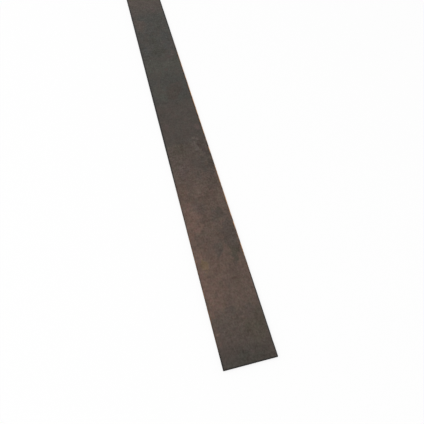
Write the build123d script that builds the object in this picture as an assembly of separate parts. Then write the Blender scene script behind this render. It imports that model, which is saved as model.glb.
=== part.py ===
from build123d import *
import os

# Hot-rolled steel flat bar, in millimetres. The bar lies on one broad face along +X, with +Z up.
# The origin is the middle of the face it lies on.

# Driving dimensions
bar_length = 1000.0  # a cut length that merchants sell flat bar in
bar_width = 50.0  # over the bulge of the two narrow edges
bar_thickness = 3.0  # between the two broad faces
edge_crown = 0.15  # how far the middle of each narrow edge bulges, left by the edging rolls
corner_radius = 0.4  # where a broad face rolls over into a narrow edge
end_break = 0.2  # the sharp rim of each sawn end, broken with a file


def rolled_section(width, thickness, crown, radius):
    """Cross-section of the bar: two flat broad faces joined by crowned edges with rounded corners."""
    edge_top = width / 2
    corner = edge_top - crown
    with BuildSketch(Plane.YZ) as section:
        with BuildLine():
            Line((-corner, 0), (corner, 0))
            ThreePointArc((corner, 0), (edge_top, thickness / 2), (corner, thickness))
            Line((corner, thickness), (-corner, thickness))
            ThreePointArc((-corner, thickness), (-edge_top, thickness / 2), (-corner, 0))
        make_face()
        fillet(section.vertices(), radius=radius)
    return section.sketch


def cut_bar(section, length, rim_break):
    """The rolled section over the bar's length, with a square cut at each end and its rim broken."""
    bar = extrude(section, amount=length / 2, both=True)
    sawn_ends = bar.faces().filter_by(Axis.X)
    rims = [edge for sawn_end in sawn_ends for edge in sawn_end.edges()]
    return chamfer(rims, length=rim_break)


flat_bar = cut_bar(
    rolled_section(bar_width, bar_thickness, edge_crown, corner_radius),
    bar_length,
    end_break,
)

os.makedirs("parts", exist_ok=True)
export_step(flat_bar, "parts/flat_bar.step")
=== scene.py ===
"""A hot-rolled steel flat bar lying on a pale studio floor, seen from above its near end.

The bar lies along X: its near end is at -X, and +Y is the left side of the picture.
"""
import math

import bpy
import numpy as np
from mathutils import Euler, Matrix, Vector


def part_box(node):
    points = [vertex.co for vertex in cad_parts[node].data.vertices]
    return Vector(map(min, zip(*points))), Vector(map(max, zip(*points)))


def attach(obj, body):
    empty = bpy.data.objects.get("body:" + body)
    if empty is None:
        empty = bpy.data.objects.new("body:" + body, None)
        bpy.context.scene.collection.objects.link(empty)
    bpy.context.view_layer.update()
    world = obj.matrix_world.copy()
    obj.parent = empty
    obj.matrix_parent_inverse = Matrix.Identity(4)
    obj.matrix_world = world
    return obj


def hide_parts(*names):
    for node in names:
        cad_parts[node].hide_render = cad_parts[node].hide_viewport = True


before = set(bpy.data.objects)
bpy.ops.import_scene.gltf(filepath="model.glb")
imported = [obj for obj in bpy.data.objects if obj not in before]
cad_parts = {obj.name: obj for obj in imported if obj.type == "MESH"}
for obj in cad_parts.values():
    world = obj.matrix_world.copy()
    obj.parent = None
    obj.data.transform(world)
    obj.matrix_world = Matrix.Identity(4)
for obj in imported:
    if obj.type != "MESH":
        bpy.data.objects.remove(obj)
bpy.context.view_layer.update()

MM = 0.001
low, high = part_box("flat_bar")
LENGTH, WIDTH, THICKNESS = high - low

# The bar's section, as the CAD has it
EDGE_CROWN = 0.15 * MM
CORNER_RADIUS = 0.4 * MM
END_BREAK = 0.2 * MM

# The mesh: cells along the bar, over each broad face, round each narrow edge, and on the cut ends
STRIPS = 3
CELLS_IN_STRIP = 290
CELLS_ALONG = STRIPS * CELLS_IN_STRIP
CELLS_ACROSS = 40
FLAT_RIM = 0.12 * MM
CROWN_CELLS = 2
CORNER_CELLS = 3
SIDE_CELLS = CROWN_CELLS + CORNER_CELLS
CAP_CELLS_PER_CELL = 4
SHARP_ANGLE = math.radians(35)

# The flat map for baking: strips of the skin one above another, then the two sawn ends
MAP_SPAN = 341 * MM
MAP_MARGIN = 1.9 * MM

# The places of the bar's three materials in its list
BROAD_FACE, NARROW_EDGE, SAWN_END = range(3)

# Relief of the rolled skin, as depths into the steel
WAVE_DEPTH = 0.05 * MM
WAVE_SIZE = (95 * MM, 21 * MM)
FLAKE_DEPTH = 0.03 * MM
FLAKE_SIZE = (11 * MM, 7 * MM)
FINE_FLAKE_SIZE = (FLAKE_SIZE[0] / 3, FLAKE_SIZE[1] / 3)
FINE_FLAKE_SHARE = 0.35
FLAKE_EDGE = (0.60, 0.68)
PIT_COUNT = 420
PIT_DEPTH = 0.09 * MM
PIT_HALF_SIZE = (1.4 * MM, 3.2 * MM)
NICK_COUNT = 150
NICK_DEPTH = 0.16 * MM
NICK_HALF_SIZE = (1.3 * MM, 2.8 * MM)
NICK_WIDTH_SHARE = 0.45

# Saw marks on the cut ends: arcs about a point beside the bar and below it
SAW_MARK_DEPTH = 0.03 * MM
SAW_MARK_PITCH = 1.3 * MM
FINE_MARKS_PER_MARK = 2.37
FINE_MARK_PHASE = 1.0
COARSE_MARK_SHARE = 0.6
SAW_CENTRE = (-160 * MM, -56 * MM)

# Floor and light
FLOOR_SIZE = 24.0
FLOOR_GREY = 0.97
FLOOR_WHITENING = 0.78
FLOOR_FADE = (0.55, 1.6)
SKY_LIGHT = 0.55
SOFTBOX_SIZE = 3.0
SOFTBOX_PLACE = (-0.3, 0.7, 2.2)
SOFTBOX_WATTS = 38.0

# The camera: its place from the middle of the bar's near end, and its angles in degrees
CAMERA_BACK = 85.03 * MM
CAMERA_LEFT = 56.68 * MM
CAMERA_HEIGHT = 395.47 * MM
CAMERA_HEADING = -14.356
CAMERA_PITCH_DOWN = 57.251
CAMERA_NEAREST = 10 * MM
FRAME_PIXELS = 424
FOCAL_PIXELS = 440.9
SENSOR_WIDTH = 36.0


def smoothstep(value, start, end):
    """0 below start, 1 above end, and a smooth rise between them."""
    rise = np.clip((value - start) / (end - start), 0, 1)
    return rise * rise * (3 - 2 * rise)


# ------------------------------------------------------------------ the bar's section


def half_outline():
    """Half of the section, from the middle of the +Y edge over the top to the middle of the other.

    Returns the points (y, z) and the outward normals.
    """
    half_thickness = THICKNESS / 2
    crown_radius = (EDGE_CROWN**2 + half_thickness**2) / (2 * EDGE_CROWN)
    crown_centre = WIDTH / 2 - crown_radius
    meeting = math.asin((half_thickness - CORNER_RADIUS) / (crown_radius - CORNER_RADIUS))
    flat_half = crown_centre + (crown_radius - CORNER_RADIUS) * math.cos(meeting)

    crown_turn = np.linspace(0, meeting, CROWN_CELLS + 1)[:-1]
    corner_turn = np.linspace(meeting, math.pi / 2, CORNER_CELLS + 1)
    side_turn = np.concatenate([crown_turn, corner_turn])
    side_normals = np.stack([np.cos(side_turn), np.sin(side_turn)], axis=1)
    crown = (crown_centre, half_thickness) + crown_radius * side_normals[:CROWN_CELLS]
    corner = (flat_half, THICKNESS - CORNER_RADIUS) + CORNER_RADIUS * side_normals[CROWN_CELLS:]
    side_points = np.concatenate([crown, corner])

    flat_y = np.linspace(flat_half - FLAT_RIM, FLAT_RIM - flat_half, CELLS_ACROSS + 1)
    flat_points = np.stack([flat_y, np.full_like(flat_y, THICKNESS)], axis=1)
    flat_normals = np.tile([0.0, 1.0], (len(flat_y), 1))

    mirror = np.array([-1.0, 1.0])
    points = np.concatenate([side_points, flat_points, side_points[::-1] * mirror])
    normals = np.concatenate([side_normals, flat_normals, side_normals[::-1] * mirror])
    return points, normals


class Section:
    """The section once round: the top half, and the same half turned over for the bottom."""

    def __init__(self):
        points, normals = half_outline()
        middle = np.array([0.0, THICKNESS / 2])
        turned = 2 * middle - points
        self.outline = np.concatenate([points[:-1], turned[:-1]])
        self.normals = np.concatenate([normals[:-1], -normals[:-1]])
        self.ring = len(self.outline)
        self.half = self.ring // 2
        steps = np.hypot(*(np.roll(self.outline, -1, axis=0) - self.outline).T)
        self.around = np.concatenate([[0], np.cumsum(steps)])
        self.perimeter = self.around[-1]

    def corner_places(self):
        """The distances round the section at which its four rounded corners lie."""
        corner = CROWN_CELLS + 1
        numbers = (corner, self.half - corner, self.half + corner, self.ring - corner)
        return [self.around[number] for number in numbers]


# ------------------------------------------------------------------ relief


def value_noise(along, around, perimeter, size, seed):
    """Smooth noise from 0 to 1 that joins up with itself round the section."""
    rng = np.random.default_rng(seed)
    rows = max(2, round(perimeter / size[1]))
    u = along / size[0]
    v = around / perimeter * rows
    column, row = np.floor(u).astype(int), np.floor(v).astype(int)
    lattice = rng.uniform(0, 1, (column.max() + 2, rows))
    across_cell = smoothstep(u - column, 0, 1)
    round_cell = smoothstep(v - row, 0, 1)
    row, next_row = row % rows, (row + 1) % rows
    near = lattice[column, row] * (1 - round_cell) + lattice[column, next_row] * round_cell
    far = lattice[column + 1, row] * (1 - round_cell) + lattice[column + 1, next_row] * round_cell
    return near * (1 - across_cell) + far * across_cell


def dents(along, around, places, half_sizes):
    """Bowl-shaped dents from 0 to 1, one at each (along, around) place."""
    dent = np.zeros(np.broadcast(along, around).shape)
    for (place_along, place_around), (half_along, half_around) in zip(places, half_sizes):
        from_along = (along - place_along) / half_along
        from_around = (around - place_around) / half_around
        bowl = np.clip(1 - from_along**2 - from_around**2, 0, 1) ** 2
        dent = np.maximum(dent, bowl)
    return dent


def skin_relief(along, around, section):
    """How deep the skin lies below the true section, with the masks of flaked scale and of pits."""
    rng = np.random.default_rng(seed=11)
    wave = value_noise(along, around, section.perimeter, WAVE_SIZE, seed=1)
    coarse = value_noise(along, around, section.perimeter, FLAKE_SIZE, seed=2)
    fine = value_noise(along, around, section.perimeter, FINE_FLAKE_SIZE, seed=3)
    flaked = smoothstep(coarse + FINE_FLAKE_SHARE * (fine - coarse), *FLAKE_EDGE)

    pit_places = rng.uniform((0, 0), (LENGTH, section.perimeter), (PIT_COUNT, 2))
    pits = dents(along, around, pit_places, rng.uniform(*PIT_HALF_SIZE, (PIT_COUNT, 2)))

    nicks_along = rng.uniform(0, LENGTH, NICK_COUNT)
    nicks_around = rng.choice(section.corner_places(), NICK_COUNT)
    nick_sizes = rng.uniform(*NICK_HALF_SIZE, (NICK_COUNT, 2)) * (1.0, NICK_WIDTH_SHARE)
    nicks = dents(along, around, zip(nicks_along, nicks_around), nick_sizes)

    depth = WAVE_DEPTH * wave + FLAKE_DEPTH * flaked + PIT_DEPTH * pits + NICK_DEPTH * nicks
    return depth, flaked, pits


def cap_relief(y, z):
    """Depth of the saw marks on a cut end: shallow arcs that a round blade leaves."""
    reach = np.hypot(y - SAW_CENTRE[0], z - SAW_CENTRE[1])
    turn = 2 * math.pi * reach / SAW_MARK_PITCH
    coarse = 0.5 + 0.5 * np.sin(turn)
    fine = 0.5 + 0.5 * np.sin(FINE_MARKS_PER_MARK * turn + FINE_MARK_PHASE)
    return SAW_MARK_DEPTH * (fine + COARSE_MARK_SHARE * (coarse - fine))


# ------------------------------------------------------------------ the bar's mesh


class MeshLists:
    """Vertices, faces, their places on the flat map, and masks, gathered piece by piece."""

    def __init__(self):
        self.points = []
        self.faces = []
        self.map_places = []
        self.masks = {"flaked": [], "pitted": []}
        self.materials = []

    def add_points(self, points, **masks):
        """Adds the points and returns the number of the first."""
        first = sum(len(block) for block in self.points)
        self.points.append(points)
        for name, values in self.masks.items():
            values.append(np.broadcast_to(masks.get(name, 0.0), len(points)))
        return first

    def add_face(self, corners, places, material):
        self.faces.append(corners)
        self.map_places.extend(places)
        self.materials.append(material)


def strip_corner(strip):
    """Where a strip of the skin starts on the flat map."""
    return MAP_MARGIN, MAP_MARGIN + strip * (WIDTH + THICKNESS + MAP_MARGIN)


def add_skin(lists, section):
    """The rolled skin: its points sunk by the relief, and its faces from one end to the other."""
    along = np.linspace(END_BREAK, LENGTH - END_BREAK, CELLS_ALONG + 1)
    along_grid, around_grid = np.meshgrid(along, section.around[:-1], indexing="ij")
    depth, flaked, pits = skin_relief(along_grid, around_grid, section)
    skin = np.empty((len(along), section.ring, 3))
    skin[..., 0] = along_grid - LENGTH / 2
    skin[..., 1:] = section.outline - depth[..., None] * section.normals
    lists.add_points(skin.reshape(-1, 3), flaked=flaked.ravel(), pitted=pits.ravel())
    for i in range(CELLS_ALONG):
        for j in range(section.ring):
            add_skin_face(lists, section, along, i, j)


def add_skin_face(lists, section, along, i, j):
    """The face in cell i along the bar and cell j round it.

    The map's first strips hold the top half of the skin, and the next ones hold the bottom half.
    """
    strip = i // CELLS_IN_STRIP
    strip_start = along[strip * CELLS_IN_STRIP]
    bottom = j // section.half
    half_start = section.around[bottom * section.half]
    left, floor = strip_corner(strip + STRIPS * bottom)
    u = [left + along[k] - strip_start for k in (i, i + 1)]
    v = [floor + section.around[k] - half_start for k in (j, j + 1)]

    row, next_row = i * section.ring, (i + 1) * section.ring
    k = (j + 1) % section.ring
    flat = SIDE_CELLS <= j % section.half < section.half - SIDE_CELLS
    lists.add_face(
        (row + j, row + k, next_row + k, next_row + j),
        ((u[0], v[0]), (u[0], v[1]), (u[1], v[1]), (u[1], v[0])),
        BROAD_FACE if flat else NARROW_EDGE,
    )


def cap_rows(section):
    """The cut face's rows from top to bottom: the skin point where each starts, and its (y, z)."""
    upper = np.arange(SIDE_CELLS, -1, -1)
    lower = np.arange(section.ring - 1, section.ring - 1 - SIDE_CELLS, -1)
    order = np.concatenate([upper, lower])
    inset = section.outline - END_BREAK * section.normals
    return order, inset[order]


def cap_columns(section):
    """The cut face's columns, from 1 at +Y to -1: the skin's lines, with finer ones between them."""
    flat = section.outline[SIDE_CELLS:section.half - SIDE_CELLS + 1, 0]
    whole = np.arange(len(flat)) * CAP_CELLS_PER_CELL
    fine = np.arange(whole[-1] + 1)
    return np.interp(fine, whole, flat) / flat[0]


def add_cap(lists, section, end):
    """One sawn end: a fine grid over the cut face, and the broken rim that joins it to the skin."""
    order, rows = cap_rows(section)
    shares = cap_columns(section)
    columns = len(shares) - 1
    y = rows[:, :1] * shares
    z = np.repeat(rows[:, 1:], columns + 1, axis=1)
    outward = 1 if end else -1
    x = outward * (LENGTH / 2 - cap_relief(y * outward, z))
    first = lists.add_points(np.stack([x, y, z], axis=-1).reshape(-1, 3))
    skin_first = (CELLS_ALONG if end else 0) * section.ring

    left, floor = strip_corner(2 * STRIPS)
    floor += end * (THICKNESS + 2 * MAP_MARGIN)

    def map_place(point_y, point_z):
        return left + WIDTH / 2 - point_y, floor + point_z

    def cap_corner(row, column):
        return first + row * (columns + 1) + column, map_place(y[row, column], z[row, column])

    def skin_corner(number):
        number %= section.ring
        return skin_first + number, map_place(*section.outline[number])

    def face(*corners):
        if not end:
            corners = corners[::-1]
        lists.add_face([number for number, _ in corners], [place for _, place in corners], SAWN_END)

    for row in range(len(rows) - 1):
        for column in range(columns):
            face(cap_corner(row, column), cap_corner(row, column + 1),
                 cap_corner(row + 1, column + 1), cap_corner(row + 1, column))
        upper, lower = int(order[row]), int(order[row + 1])
        face(skin_corner(upper), cap_corner(row, 0), cap_corner(row + 1, 0), skin_corner(lower))
        face(skin_corner(section.half - upper), skin_corner(section.half - lower),
             cap_corner(row + 1, columns), cap_corner(row, columns))

    for cell in range(columns // CAP_CELLS_PER_CELL):
        fine = range(cell * CAP_CELLS_PER_CELL, (cell + 1) * CAP_CELLS_PER_CELL + 1)
        top = [skin_corner(SIDE_CELLS + cell + k) for k in (0, 1)]
        stitch(face, top, [cap_corner(0, column) for column in fine])
        bottom = [skin_corner(-SIDE_CELLS - cell - k) for k in (1, 0)]
        stitch(face, bottom, [cap_corner(len(rows) - 1, column) for column in fine[::-1]])


def stitch(face, coarse, fine):
    """Triangles between one coarse edge and the fine edges beside it."""
    middle = len(fine) // 2
    for k in range(middle):
        face(coarse[0], fine[k + 1], fine[k])
    face(coarse[0], coarse[1], fine[middle])
    for k in range(middle, len(fine) - 1):
        face(coarse[1], fine[k + 1], fine[k])


def make_bar():
    """The bar as one closed mesh with its relief, its masks and a flat map for baking."""
    lists, section = MeshLists(), Section()
    add_skin(lists, section)
    for end in (0, 1):
        add_cap(lists, section, end)

    mesh = bpy.data.meshes.new("rolled_bar")
    mesh.from_pydata(np.concatenate(lists.points).tolist(), [], lists.faces)
    flat_map = mesh.uv_layers.new(name="OFBake")
    flat_map.data.foreach_set("uv", (np.array(lists.map_places) / MAP_SPAN).ravel())
    for name, blocks in lists.masks.items():
        mask = mesh.attributes.new(name, "FLOAT", "POINT")
        mask.data.foreach_set("value", np.concatenate(blocks))
    mesh.polygons.foreach_set("material_index", lists.materials)
    mesh.update()
    mesh.shade_smooth()
    mesh.set_sharp_from_angle(angle=SHARP_ANGLE)
    bar = bpy.data.objects.new("rolled_bar", mesh)
    bpy.context.collection.objects.link(bar)
    return bar


# ------------------------------------------------------------------ tones of the steel


def from_screen(red, green, blue):
    """A colour written as screen levels from 0 to 255, as the linear values that shaders take."""
    levels = (red / 255, green / 255, blue / 255)
    linear = (v / 12.92 if v <= 0.04045 else ((v + 0.055) / 1.055) ** 2.4 for v in levels)
    return (*linear, 1.0)


# Tones of mill scale, without the sheen that the light adds
UMBER = from_screen(53, 45, 38)
DARK_OLIVE = from_screen(45, 43, 35)
OLIVE_GREY = from_screen(50, 48, 43)
PALE_OLIVE = from_screen(57, 55, 48)
BLUE_GREY = from_screen(51, 50, 47)
DRAB = from_screen(59, 51, 40)
GREY_BROWN = from_screen(58, 51, 45)
DULL_BROWN = from_screen(65, 55, 48)
BROWN = from_screen(71, 59, 51)
WARM_BROWN = from_screen(78, 63, 54)
TAN = from_screen(85, 67, 57)
ROSE_TAN = from_screen(93, 72, 62)
MAUVE = from_screen(64, 52, 48)
PALE_MAUVE = from_screen(76, 63, 58)
SCUFF_GREY = from_screen(77, 68, 62)
MAROON = from_screen(50, 38, 34)
OCHRE = from_screen(102, 82, 56)

# Tones of the rims of painted shade, the flaws, the rusted arrises with their painted highlight, and
# the sawn ends
PAINTED_RIM_SHADE = from_screen(13, 9, 5)
FLAKED_SCALE = from_screen(66, 52, 46)
PIT_OXIDE = from_screen(40, 34, 30)
# Rust on the arrises, made pale as a painted highlight on the arris
ARRIS_RUST_AND_HIGHLIGHT = from_screen(196, 140, 82)
ARRIS_BROWN = from_screen(112, 78, 50)
SAWN_STEEL = from_screen(26, 23, 20)
SAWN_BROWN = from_screen(42, 36, 31)

# Faint tints that drift over the scale: pairs of opposite gains on red, green and blue
ROSE_AND_GREEN = ((1.08, 0.970, 1.040, 1.0), (0.925, 1.030, 0.960, 1.0))
OCHRE_AND_BLUE = ((1.01, 1.00, 0.95, 1.0), (0.99, 1.00, 1.05, 1.0))

# The scale along the bar: millimetres from the near end, tone, and strength of the texture
BANDS = (
    # The umber over the first 14 mm from the near end is painted shade
    (0, UMBER, 0.45),
    (14, UMBER, 0.45),
    (18, DULL_BROWN, 0.45),
    (45, BROWN, 0.45),
    (62, WARM_BROWN, 0.45),
    (90, TAN, 0.45),
    (120, WARM_BROWN, 0.45),
    (190, WARM_BROWN, 0.55),
    (222, BROWN, 0.55),
    (258, DULL_BROWN, 0.55),
    (261, GREY_BROWN, 0.40),
    (325, GREY_BROWN, 0.35),
    (338, OLIVE_GREY, 0.40),
    (370, OLIVE_GREY, 0.40),
    (405, PALE_OLIVE, 0.45),
    (430, OLIVE_GREY, 0.60),
    (515, OLIVE_GREY, 0.60),
    (528, GREY_BROWN, 0.60),
    (560, DULL_BROWN, 0.60),
    (640, GREY_BROWN, 0.55),
    (700, OLIVE_GREY, 0.45),
    (770, GREY_BROWN, 0.50),
    (840, BROWN, 0.55),
    (910, GREY_BROWN, 0.50),
    (978, DULL_BROWN, 0.50),
    (984, UMBER, 0.45),
)
BAND_EDGE_SIZE = (16 * MM, 12 * MM, 20 * MM)
BAND_RAGGEDNESS = 12 * MM

# Broad stains on the upper face: tone, middle and reach in millimetres, and strength.
# A middle is measured from the near end and from the centre line.
STAINS = (
    (DARK_OLIVE, (3, 10), (9, 20), 0.5),
    (DRAB, (26, -13), (12, 11), 0.8),
    (WARM_BROWN, (38, 22), (6, 4), 0.9),
    (DRAB, (38, -19), (14, 5), 0.8),
    (TAN, (74, 12), (36, 12), 0.9),
    (WARM_BROWN, (72, -11), (26, 12), 0.8),
    (DULL_BROWN, (50, 5), (5, 5), 0.8),
    (DULL_BROWN, (47, -13), (6, 5), 0.8),
    (DULL_BROWN, (128, -16), (28, 6), 0.9),
    (WARM_BROWN, (131, 8), (12, 11), 0.7),
    (TAN, (117, 14), (7, 6), 0.8),
    (DULL_BROWN, (113, -2), (10, 5), 0.8),
    (ROSE_TAN, (158, 17), (24, 9), 0.9),
    (ROSE_TAN, (104, 21.5), (58, 3.6), 0.9),
    (MAUVE, (169, 7), (8, 10), 0.5),
    (DRAB, (160, -13), (8, 4), 0.8),
    (DULL_BROWN, (153, -8), (12, 6), 0.7),
    (WARM_BROWN, (184, 2), (11, 11), 0.8),
    (TAN, (195, 18), (10, 5), 0.7),
    (DULL_BROWN, (200, -16), (14, 6), 0.5),
    (DULL_BROWN, (209, -4), (7, 6), 0.8),
    (PALE_MAUVE, (222, 12), (13, 9), 0.8),
    (GREY_BROWN, (226, -10), (14, 9), 0.8),
    (UMBER, (227, -20.5), (17, 4.5), 0.8),
    (UMBER, (261, -19), (11, 4), 0.6),
    (DRAB, (252, 11), (9, 10), 0.6),
    (PALE_OLIVE, (350, 15), (18, 9), 0.8),
    (UMBER, (350, -6), (19, 9), 0.9),
    (PALE_OLIVE, (392, 6), (13, 6), 0.9),
    (PALE_OLIVE, (407, -1), (7, 10), 0.8),
    (DARK_OLIVE, (432, 0), (9, 13), 0.9),
    (BLUE_GREY, (443, 14), (14, 6), 0.9),
    (BLUE_GREY, (460, -13), (20, 7), 0.9),
    (DARK_OLIVE, (457, 1), (14, 4), 0.9),
    (DARK_OLIVE, (461, 11), (7, 6), 0.6),
    (DARK_OLIVE, (495, -7), (24, 7), 0.6),
    (DULL_BROWN, (498, 14), (14, 12), 0.9),
)
STAIN_FADE = (1.20, 0.60)
STAIN_HEIGHTS = (0.4 * THICKNESS, 0.6 * THICKNESS)
STAIN_EDGE_SIZE = 12 * MM
STAIN_RAGGEDNESS = 0.60

# Small marks on the upper face, written the same way
MARKS = (
    (OCHRE, (101, 17), (6.5, 4.5), 0.6),
    (DRAB, (107, -16), (9, 4), 0.9),
    (MAROON, (246, -18), (5, 2.5), 0.8),
    (SCUFF_GREY, (249.5, -11.4), (5.5, 2), 1.0),
    (SCUFF_GREY, (257, -9.8), (5, 1.8), 0.9),
    (SCUFF_GREY, (263.8, -14.2), (2.4, 2.6), 0.9),
    (SCUFF_GREY, (266.8, -10.8), (2.2, 2.4), 0.9),
    (PALE_MAUVE, (284, -19), (4.8, 3), 0.8),
    (MAROON, (256, -14), (3.5, 1.5), 0.8),
    (MAUVE, (291, 18), (10, 2.6), 0.7),
    (MAUVE, (394, -3), (3.6, 3), 0.7),
    (MAUVE, (419, -12), (5.5, 3), 0.7),
    (MAUVE, (426, -18), (7, 3), 0.8),
    (PALE_OLIVE, (452, -7), (5.5, 1.8), 0.8),
    (MAUVE, (539, 0), (2.8, 6), 0.8),
    (MAUVE, (531, -10), (5, 2.6), 0.8),
)
MARK_EDGE_SIZE = 4 * MM
MARK_RAGGEDNESS = 0.55

# Flaws that the mesh marks with a mask: the mask's name, tone and strength
FLAWS = (("flaked", FLAKED_SCALE, 0.25), ("pitted", PIT_OXIDE, 0.35))

# Noise: the step from one seed to the next, and two ranges in which most of its values lie
SEED_SHIFT = (7.3, 3.1, 5.7)
NOISE_RANGE = (0.25, 0.75)
NOISE_MIDDLE = (0.3, 0.7)

# Texture all over the scale: how large each kind is, and how far it lightens and darkens,
# with the bump, roughness and gloss that go with it
WORM_SIZE = (13 * MM, 10 * MM, 20 * MM)
WORM_SWING = 4.2
STREAK_SIZE = (2.2 * MM, 6.0 * MM, 4.0 * MM)
STREAK_SWING = 1.4
GRAIN_SIZE = (2.3 * MM, 1.8 * MM, 1.9 * MM)
GRAIN_SWING = 3.6
TINT_SIZE = (4 * MM, 4 * MM, 6 * MM)
GAIN_PER_SWING = 0.4
GREY_PER_SWING = 0.027
GRAIN_IN_BUMP = 0.4
SCALE_BUMP_DEPTH = 0.25 * MM
SCALE_ROUGHNESS = (0.50, 0.64)
EDGE_EXTRA_ROUGHNESS = 0.15
SCALE_SPECULAR = 0.30
EDGE_SPECULAR = 0.08

# The cut ends
SAWN_ROUGHNESS = (0.62, 0.74)
SAWN_SPECULAR = 0.04
SAW_SCRATCH_SIZE = (10 * MM, 0.4 * MM, 4 * MM)
SAW_BLOTCH_SIZE = (10 * MM, 4 * MM, 2 * MM)
SAW_BLOTCH_EDGE = (0.40, 0.65)
SAW_SCRATCH_SWING = 1.2
SAW_SCRATCH_DEPTH = 0.03 * MM

# Dark rims of painted shade: where each fades out and where it is full, in from an arris or an end.
# The ones along the arrises widen with the distance from the bar's ends.
RIM_FADE = (1.5 * MM, 0.7 * MM)
RIM_WIDENS = (150 * MM, 320 * MM)
RIM_WIDEST = 1.6
RIM_HEIGHTS = (0.30 * THICKNESS, 0.75 * THICKNESS)
END_RIM_FADE = (1.0 * MM, 0.4 * MM)
RIM_SHOWS = 0.95
RIM_LOST_IN_LEFT_RUN = 0.65

# Rust on the upper arrises, brightened as a painted highlight, in runs given as distances from the
# near end
RIGHT_RUST_AND_HIGHLIGHT_RUN = (100 * MM, 430 * MM)
LEFT_RUST_AND_HIGHLIGHT_RUN = (30 * MM, 190 * MM)
RUST_AND_HIGHLIGHT_FADE = 30 * MM
RUST_AND_HIGHLIGHT_REACH = (1.00 * MM, 0.65 * MM)
RUST_AND_HIGHLIGHT_HEIGHTS = (0.60 * THICKNESS, 0.85 * THICKNESS)
CRUST_SIZE = (9 * MM, 1.6 * MM, 1.6 * MM)
CRUST_EDGE = (0.34, 0.46)
CRUST_THICKENS = (0.40, 0.60)


# ------------------------------------------------------------------ materials


# The numbers of the Mix node's sockets for two colours and for their blend
MIX_UNDER, MIX_OVER, MIX_RESULT = 6, 7, 2


class NodeSheet:
    """Adds nodes to one material or world and links them, so that it reads as a list of steps."""

    def __init__(self, owner):
        self.owner = owner
        self.owner.use_nodes = True
        self.tree = owner.node_tree
        self.tree.nodes.clear()

    def node(self, kind, inputs=(), **settings):
        """A new node with its settings, and its inputs given as (socket, value or link) pairs."""
        made = self.tree.nodes.new(kind)
        for name, value in settings.items():
            setattr(made, name, value)
        for socket, value in inputs:
            if isinstance(value, bpy.types.NodeSocket):
                self.tree.links.new(value, made.inputs[socket])
            else:
                made.inputs[socket].default_value = value
        return made

    def place(self):
        """The point on the object, in metres in the frame."""
        return self.node("ShaderNodeTexCoord").outputs["Object"]

    def parts(self, place):
        """The x, y and z of a point."""
        return self.node("ShaderNodeSeparateXYZ", [(0, place)]).outputs

    def mask(self, name):
        """A mask that the mesh carries."""
        return self.node("ShaderNodeAttribute", attribute_name=name).outputs["Fac"]

    def maths(self, operation, *values):
        return self.node("ShaderNodeMath", enumerate(values), operation=operation).outputs[0]

    def vector_maths(self, operation, *values):
        return self.node("ShaderNodeVectorMath", enumerate(values), operation=operation).outputs[0]

    def length(self, vector):
        made = self.node("ShaderNodeVectorMath", [(0, vector)], operation="LENGTH")
        return made.outputs["Value"]

    def all_three(self, value):
        """A vector with the value in each of its parts."""
        return self.node("ShaderNodeCombineXYZ", [(0, value), (1, value), (2, value)]).outputs[0]

    def remap(self, value, start, end, to_start=0.0, to_end=1.0):
        """Maps start..end smoothly to to_start..to_end, and holds the ends."""
        inputs = [("Value", value), ("From Min", start), ("From Max", end)]
        inputs += [("To Min", to_start), ("To Max", to_end)]
        made = self.node("ShaderNodeMapRange", inputs, interpolation_type="SMOOTHSTEP")
        return made.outputs["Result"]

    def noise(self, place, size, seed, detail=2.0, roughness=0.5, distortion=0.0):
        """Noise around 0.5 whose features measure size along each axis."""
        steps = tuple(1 / length for length in size)
        shift = tuple(seed * part for part in SEED_SHIFT)
        vector = self.vector_maths("MULTIPLY_ADD", place, steps, shift)
        inputs = [("Vector", vector), ("Scale", 1.0), ("Detail", detail)]
        inputs += [("Roughness", roughness), ("Distortion", distortion)]
        return self.node("ShaderNodeTexNoise", inputs).outputs["Fac"]

    def spread(self, noise, amount, middle=0.0):
        """The noise's swing about its mean, times amount, about a new middle."""
        return self.maths("MULTIPLY_ADD", noise, amount, middle - 0.5 * amount)

    def blend(self, under, over, amount):
        """The colour over laid on the colour under by amount."""
        inputs = [("Factor", amount), (MIX_UNDER, under), (MIX_OVER, over)]
        return self.node("ShaderNodeMix", inputs, data_type="RGBA").outputs[MIX_RESULT]

    def steel(self, colour, height, depth, roughness, specular):
        """The steel shader over a worked-out colour, relief and roughness, as the whole material."""
        bump_inputs = [("Height", height), ("Strength", 1.0), ("Distance", depth)]
        bump = self.node("ShaderNodeBump", bump_inputs)
        shader = self.node("ShaderNodeBsdfPrincipled", [
            ("Base Color", colour),
            ("Roughness", roughness),
            ("Normal", bump.outputs["Normal"]),
            ("Specular IOR Level", specular),
        ])
        return self.finish(shader.outputs[0])

    def finish(self, surface, output="ShaderNodeOutputMaterial"):
        self.node(output, [("Surface", surface)])
        return self.owner


def tone_along(sheet, place):
    """The scale's tone and strength of texture along the bar, with ragged borders between bands."""
    ragged = sheet.noise(place, BAND_EDGE_SIZE, seed=1, detail=3.0, roughness=0.6)
    from_near_end = sheet.spread(ragged, BAND_RAGGEDNESS, middle=LENGTH / 2)
    distance = sheet.maths("ADD", sheet.parts(place)["X"], from_near_end)
    ramp = sheet.node("ShaderNodeValToRGB", [(0, sheet.maths("DIVIDE", distance, LENGTH))])
    elements = ramp.color_ramp.elements
    elements.remove(elements[1])
    for start, tone, texture in BANDS:
        element = elements.new(start * MM / LENGTH) if start else elements[0]
        element.color = tone
        element.alpha = texture
    return ramp.outputs["Color"], ramp.outputs["Alpha"]


def stain_mask(sheet, place, middle, reach, ragged):
    """A soft oval stain with a ragged outline."""
    centre = (middle[0] * MM - LENGTH / 2, middle[1] * MM, 0.0)
    per_reach = (1 / (reach[0] * MM), 1 / (reach[1] * MM), 0.0)
    offset = sheet.vector_maths("SUBTRACT", place, centre)
    far = sheet.length(sheet.vector_maths("MULTIPLY", offset, per_reach))
    return sheet.remap(sheet.maths("ADD", far, ragged), *STAIN_FADE)


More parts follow.
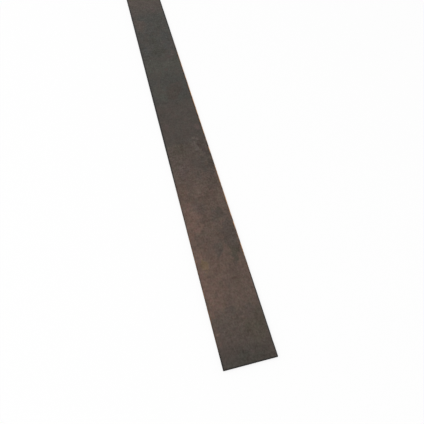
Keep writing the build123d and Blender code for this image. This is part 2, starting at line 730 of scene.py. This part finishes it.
def add_stains(sheet, place, colour, stains, edge_size, raggedness, seed):
    """Lays the stains on the upper face, all with outlines ragged by one noise."""
    upper = sheet.remap(sheet.parts(place)["Z"], *STAIN_HEIGHTS)
    noise = sheet.noise(place, (edge_size, edge_size, 1.0), seed, detail=3.0, roughness=0.6)
    ragged = sheet.remap(noise, *NOISE_RANGE, -raggedness, raggedness)
    for tone, middle, reach, strength in stains:
        mask = stain_mask(sheet, place, middle, reach, ragged)
        amount = sheet.maths("MULTIPLY", sheet.maths("MULTIPLY", mask, strength), upper)
        colour = sheet.blend(colour, tone, amount)
    return colour


def shade(sheet, colour, swing):
    """Lightens and darkens the colour as the swing goes: partly by gain, partly by plain grey."""
    gain = sheet.maths("MULTIPLY_ADD", swing, GAIN_PER_SWING, 1.0)
    grey = sheet.maths("MULTIPLY", swing, GREY_PER_SWING)
    return sheet.vector_maths("MULTIPLY_ADD", colour, sheet.all_three(gain), sheet.all_three(grey))


def tint(sheet, place, colour, tints, seed):
    """Tints the colour towards one or the other of a pair, in drifting clouds."""
    clouds = sheet.noise(place, TINT_SIZE, seed, detail=3.0, roughness=0.8)
    gains = sheet.blend(*tints, sheet.remap(clouds, *NOISE_RANGE))
    return sheet.vector_maths("MULTIPLY", colour, gains)


def mill_scale(sheet, place, stained):
    """The rolled skin's colour, bump height and roughness, from bands, stains, worms and grain."""
    colour, texture = tone_along(sheet, place)
    if stained:
        colour = add_stains(sheet, place, colour, STAINS, STAIN_EDGE_SIZE, STAIN_RAGGEDNESS, seed=2)
        colour = add_stains(sheet, place, colour, MARKS, MARK_EDGE_SIZE, MARK_RAGGEDNESS, seed=8)

    worms = sheet.noise(place, WORM_SIZE, seed=3, detail=4.0, roughness=0.85, distortion=0.8)
    streaks = sheet.noise(place, STREAK_SIZE, seed=4, detail=1.0, distortion=0.3)
    grain = sheet.noise(place, GRAIN_SIZE, seed=5, detail=2.0, roughness=0.7)
    swing = sheet.maths("ADD", sheet.spread(worms, WORM_SWING), sheet.spread(streaks, STREAK_SWING))
    swing = sheet.maths("ADD", swing, sheet.spread(grain, GRAIN_SWING))
    colour = shade(sheet, colour, sheet.maths("MULTIPLY", swing, texture))
    colour = tint(sheet, place, colour, ROSE_AND_GREEN, seed=6)
    colour = tint(sheet, place, colour, OCHRE_AND_BLUE, seed=7)
    for flaw, tone, strength in FLAWS:
        colour = sheet.blend(colour, tone, sheet.maths("MULTIPLY", sheet.mask(flaw), strength))

    height = sheet.maths("MULTIPLY_ADD", grain, GRAIN_IN_BUMP, worms)
    roughness = sheet.remap(worms, *NOISE_MIDDLE, *SCALE_ROUGHNESS)
    return colour, height, roughness


def rust_and_highlight_run(sheet, x, y, side, run):
    """1 along a run of the bar on one side of its middle, fading at both ends of the run."""
    start, end = (distance - LENGTH / 2 for distance in run)
    rising = sheet.remap(x, start - RUST_AND_HIGHLIGHT_FADE, start + RUST_AND_HIGHLIGHT_FADE)
    falling = sheet.remap(x, end + RUST_AND_HIGHLIGHT_FADE, end - RUST_AND_HIGHLIGHT_FADE)
    within = sheet.maths("MULTIPLY", rising, falling)
    return sheet.maths("MULTIPLY", within, sheet.maths(side, y, 0.0))


def add_rim_shade_and_arris_rust_and_highlight(sheet, place, colour):
    """Dark rims of painted shade beside the arrises and the ends, and rusted upper arrises in two
    runs, brightened by a painted highlight.
    """
    x, y, z = sheet.parts(place)
    from_arris = sheet.maths("SUBTRACT", WIDTH / 2, sheet.maths("ABSOLUTE", y))
    from_end = sheet.maths("SUBTRACT", LENGTH / 2, sheet.maths("ABSOLUTE", x))
    right_run = rust_and_highlight_run(sheet, x, y, "LESS_THAN", RIGHT_RUST_AND_HIGHLIGHT_RUN)
    left_run = rust_and_highlight_run(sheet, x, y, "GREATER_THAN", LEFT_RUST_AND_HIGHLIGHT_RUN)

    # Painted shade: a dark rim along the upper arrises and the ends
    upper = sheet.remap(z, *RIM_HEIGHTS)
    widening = sheet.remap(from_end, *RIM_WIDENS, 1.0, RIM_WIDEST)
    narrowed = sheet.maths("DIVIDE", from_arris, widening)
    beside_arris = sheet.maths("MULTIPLY", sheet.remap(narrowed, *RIM_FADE), upper)
    rim = sheet.maths("MAXIMUM", beside_arris, sheet.remap(from_end, *END_RIM_FADE))
    shows = sheet.maths("MULTIPLY_ADD", left_run, -RIM_LOST_IN_LEFT_RUN, RIM_SHOWS)
    colour = sheet.blend(colour, PAINTED_RIM_SHADE, sheet.maths("MULTIPLY", rim, shows))

    # Rust along the upper arrises, brightened as a painted highlight
    crust = sheet.noise(place, CRUST_SIZE, seed=11, detail=3.0, roughness=0.7)
    thickness = sheet.remap(crust, *CRUST_THICKENS)
    high_up = sheet.remap(z, *RUST_AND_HIGHLIGHT_HEIGHTS)
    on_arris = sheet.maths("MULTIPLY", sheet.remap(from_arris, *RUST_AND_HIGHLIGHT_REACH), high_up)
    arris_rust_and_highlight = sheet.maths("MULTIPLY", on_arris, sheet.remap(crust, *CRUST_EDGE))
    for run, thin, thick in ((right_run, ARRIS_BROWN, ARRIS_RUST_AND_HIGHLIGHT), (left_run, PIT_OXIDE, ARRIS_BROWN)):
        rust_and_highlight = sheet.blend(thin, thick, thickness)
        colour = sheet.blend(colour, rust_and_highlight, sheet.maths("MULTIPLY", arris_rust_and_highlight, run))
    return colour


def broad_face_material():
    """Satin mill scale with the stains of the upper face."""
    sheet = NodeSheet(bpy.data.materials.new("mill_scale_face"))
    place = sheet.place()
    colour, height, roughness = mill_scale(sheet, place, stained=True)
    colour = add_rim_shade_and_arris_rust_and_highlight(sheet, place, colour)
    return sheet.steel(colour, height, SCALE_BUMP_DEPTH, roughness, SCALE_SPECULAR)


def narrow_edge_material():
    """The rolled narrow edges and rounded corners: matt, darkened by painted shade, and rusted along
    two runs with a painted highlight.
    """
    sheet = NodeSheet(bpy.data.materials.new("mill_scale_edge"))
    place = sheet.place()
    colour, height, roughness = mill_scale(sheet, place, stained=False)
    roughness = sheet.maths("ADD", roughness, EDGE_EXTRA_ROUGHNESS)
    colour = add_rim_shade_and_arris_rust_and_highlight(sheet, place, colour)
    return sheet.steel(colour, height, SCALE_BUMP_DEPTH, roughness, EDGE_SPECULAR)


def sawn_end_material():
    """The cut ends: dull, very dark steel with the fine scratches of a saw."""
    sheet = NodeSheet(bpy.data.materials.new("sawn_end"))
    place = sheet.place()
    scratches = sheet.noise(place, SAW_SCRATCH_SIZE, seed=9, detail=3.0, roughness=0.7)
    blotches = sheet.noise(place, SAW_BLOTCH_SIZE, seed=10, detail=3.0)
    colour = sheet.blend(SAWN_STEEL, SAWN_BROWN, sheet.remap(blotches, *SAW_BLOTCH_EDGE))
    gain = sheet.all_three(sheet.spread(scratches, SAW_SCRATCH_SWING, middle=1.0))
    colour = sheet.vector_maths("MULTIPLY", colour, gain)
    roughness = sheet.remap(scratches, *NOISE_MIDDLE, *SAWN_ROUGHNESS)
    return sheet.steel(colour, scratches, SAW_SCRATCH_DEPTH, roughness, SAWN_SPECULAR)


def seen_directly(sheet):
    """1 for what the camera and reflections see, and 0 for the light that falls on the bar."""
    rays = sheet.node("ShaderNodeLightPath").outputs
    seen = sheet.maths("MAXIMUM", rays["Is Camera Ray"], rays["Is Glossy Ray"])
    return sheet.maths("MAXIMUM", seen, rays["Is Transmission Ray"])


def floor_material():
    """A pale matt floor that the camera sees as white, with the bar's soft shadow kept."""
    sheet = NodeSheet(bpy.data.materials.new("pale_floor"))
    matt_inputs = [("Color", (FLOOR_GREY, FLOOR_GREY, FLOOR_GREY, 1.0))]
    matt = sheet.node("ShaderNodeBsdfDiffuse", matt_inputs).outputs[0]
    white = sheet.node("ShaderNodeEmission", [("Strength", 1.0)]).outputs[0]
    whitening = sheet.remap(sheet.length(sheet.place()), *FLOOR_FADE, FLOOR_WHITENING, 1.0)
    whiteness = sheet.maths("MULTIPLY", seen_directly(sheet), whitening)
    mix = sheet.node("ShaderNodeMixShader", [(0, whiteness), (1, matt), (2, white)])
    return sheet.finish(mix.outputs[0])


# ------------------------------------------------------------------ floor, light and camera


def make_floor():
    """The floor under the bar, as staging that isn't part of the object."""
    half = FLOOR_SIZE / 2
    corners = [(-half, -half, 0), (half, -half, 0), (half, half, 0), (-half, half, 0)]
    mesh = bpy.data.meshes.new("floor")
    mesh.from_pydata(corners, [], [(0, 1, 2, 3)])
    floor = bpy.data.objects.new("floor", mesh)
    floor.data.materials.append(floor_material())
    bpy.context.collection.objects.link(floor)


def make_softbox():
    """A big softbox overhead, aimed at the middle of the bar."""
    lamp = bpy.data.lights.new("softbox", "AREA")
    lamp.shape = "SQUARE"
    lamp.size = SOFTBOX_SIZE
    lamp.energy = SOFTBOX_WATTS
    softbox = bpy.data.objects.new("softbox", lamp)
    softbox.location = SOFTBOX_PLACE
    softbox.rotation_euler = (-Vector(SOFTBOX_PLACE)).to_track_quat("-Z", "Y").to_euler()
    softbox.visible_camera = False
    bpy.context.collection.objects.link(softbox)


def make_sky():
    """An even pale sky, which the camera and reflections see as white."""
    sheet = NodeSheet(bpy.data.worlds.new("studio"))
    strength = sheet.remap(seen_directly(sheet), 0.0, 1.0, SKY_LIGHT, 1.0)
    sky = sheet.node("ShaderNodeBackground", [("Color", (1.0, 1.0, 1.0, 1.0)), ("Strength", strength)])
    bpy.context.scene.world = sheet.finish(sky.outputs[0], "ShaderNodeOutputWorld")


def make_camera():
    """The camera above the near end, looking down along the bar."""
    data = bpy.data.cameras.new("camera")
    data.sensor_width = SENSOR_WIDTH
    data.lens = FOCAL_PIXELS / FRAME_PIXELS * SENSOR_WIDTH
    data.clip_start = CAMERA_NEAREST
    camera = bpy.data.objects.new("camera", data)
    camera.location = (-LENGTH / 2 - CAMERA_BACK, CAMERA_LEFT, CAMERA_HEIGHT)
    tilt = math.radians(90 - CAMERA_PITCH_DOWN)
    heading = math.radians(CAMERA_HEADING - 90)
    camera.rotation_euler = Euler((tilt, 0, heading))
    bpy.context.collection.objects.link(camera)
    bpy.context.scene.camera = camera


bar = make_bar()
for material in (broad_face_material(), narrow_edge_material(), sawn_end_material()):
    bar.data.materials.append(material)
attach(bar, "root")
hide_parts("flat_bar")
make_floor()
make_softbox()
make_sky()
make_camera()
bpy.context.scene.view_settings.view_transform = "Standard"
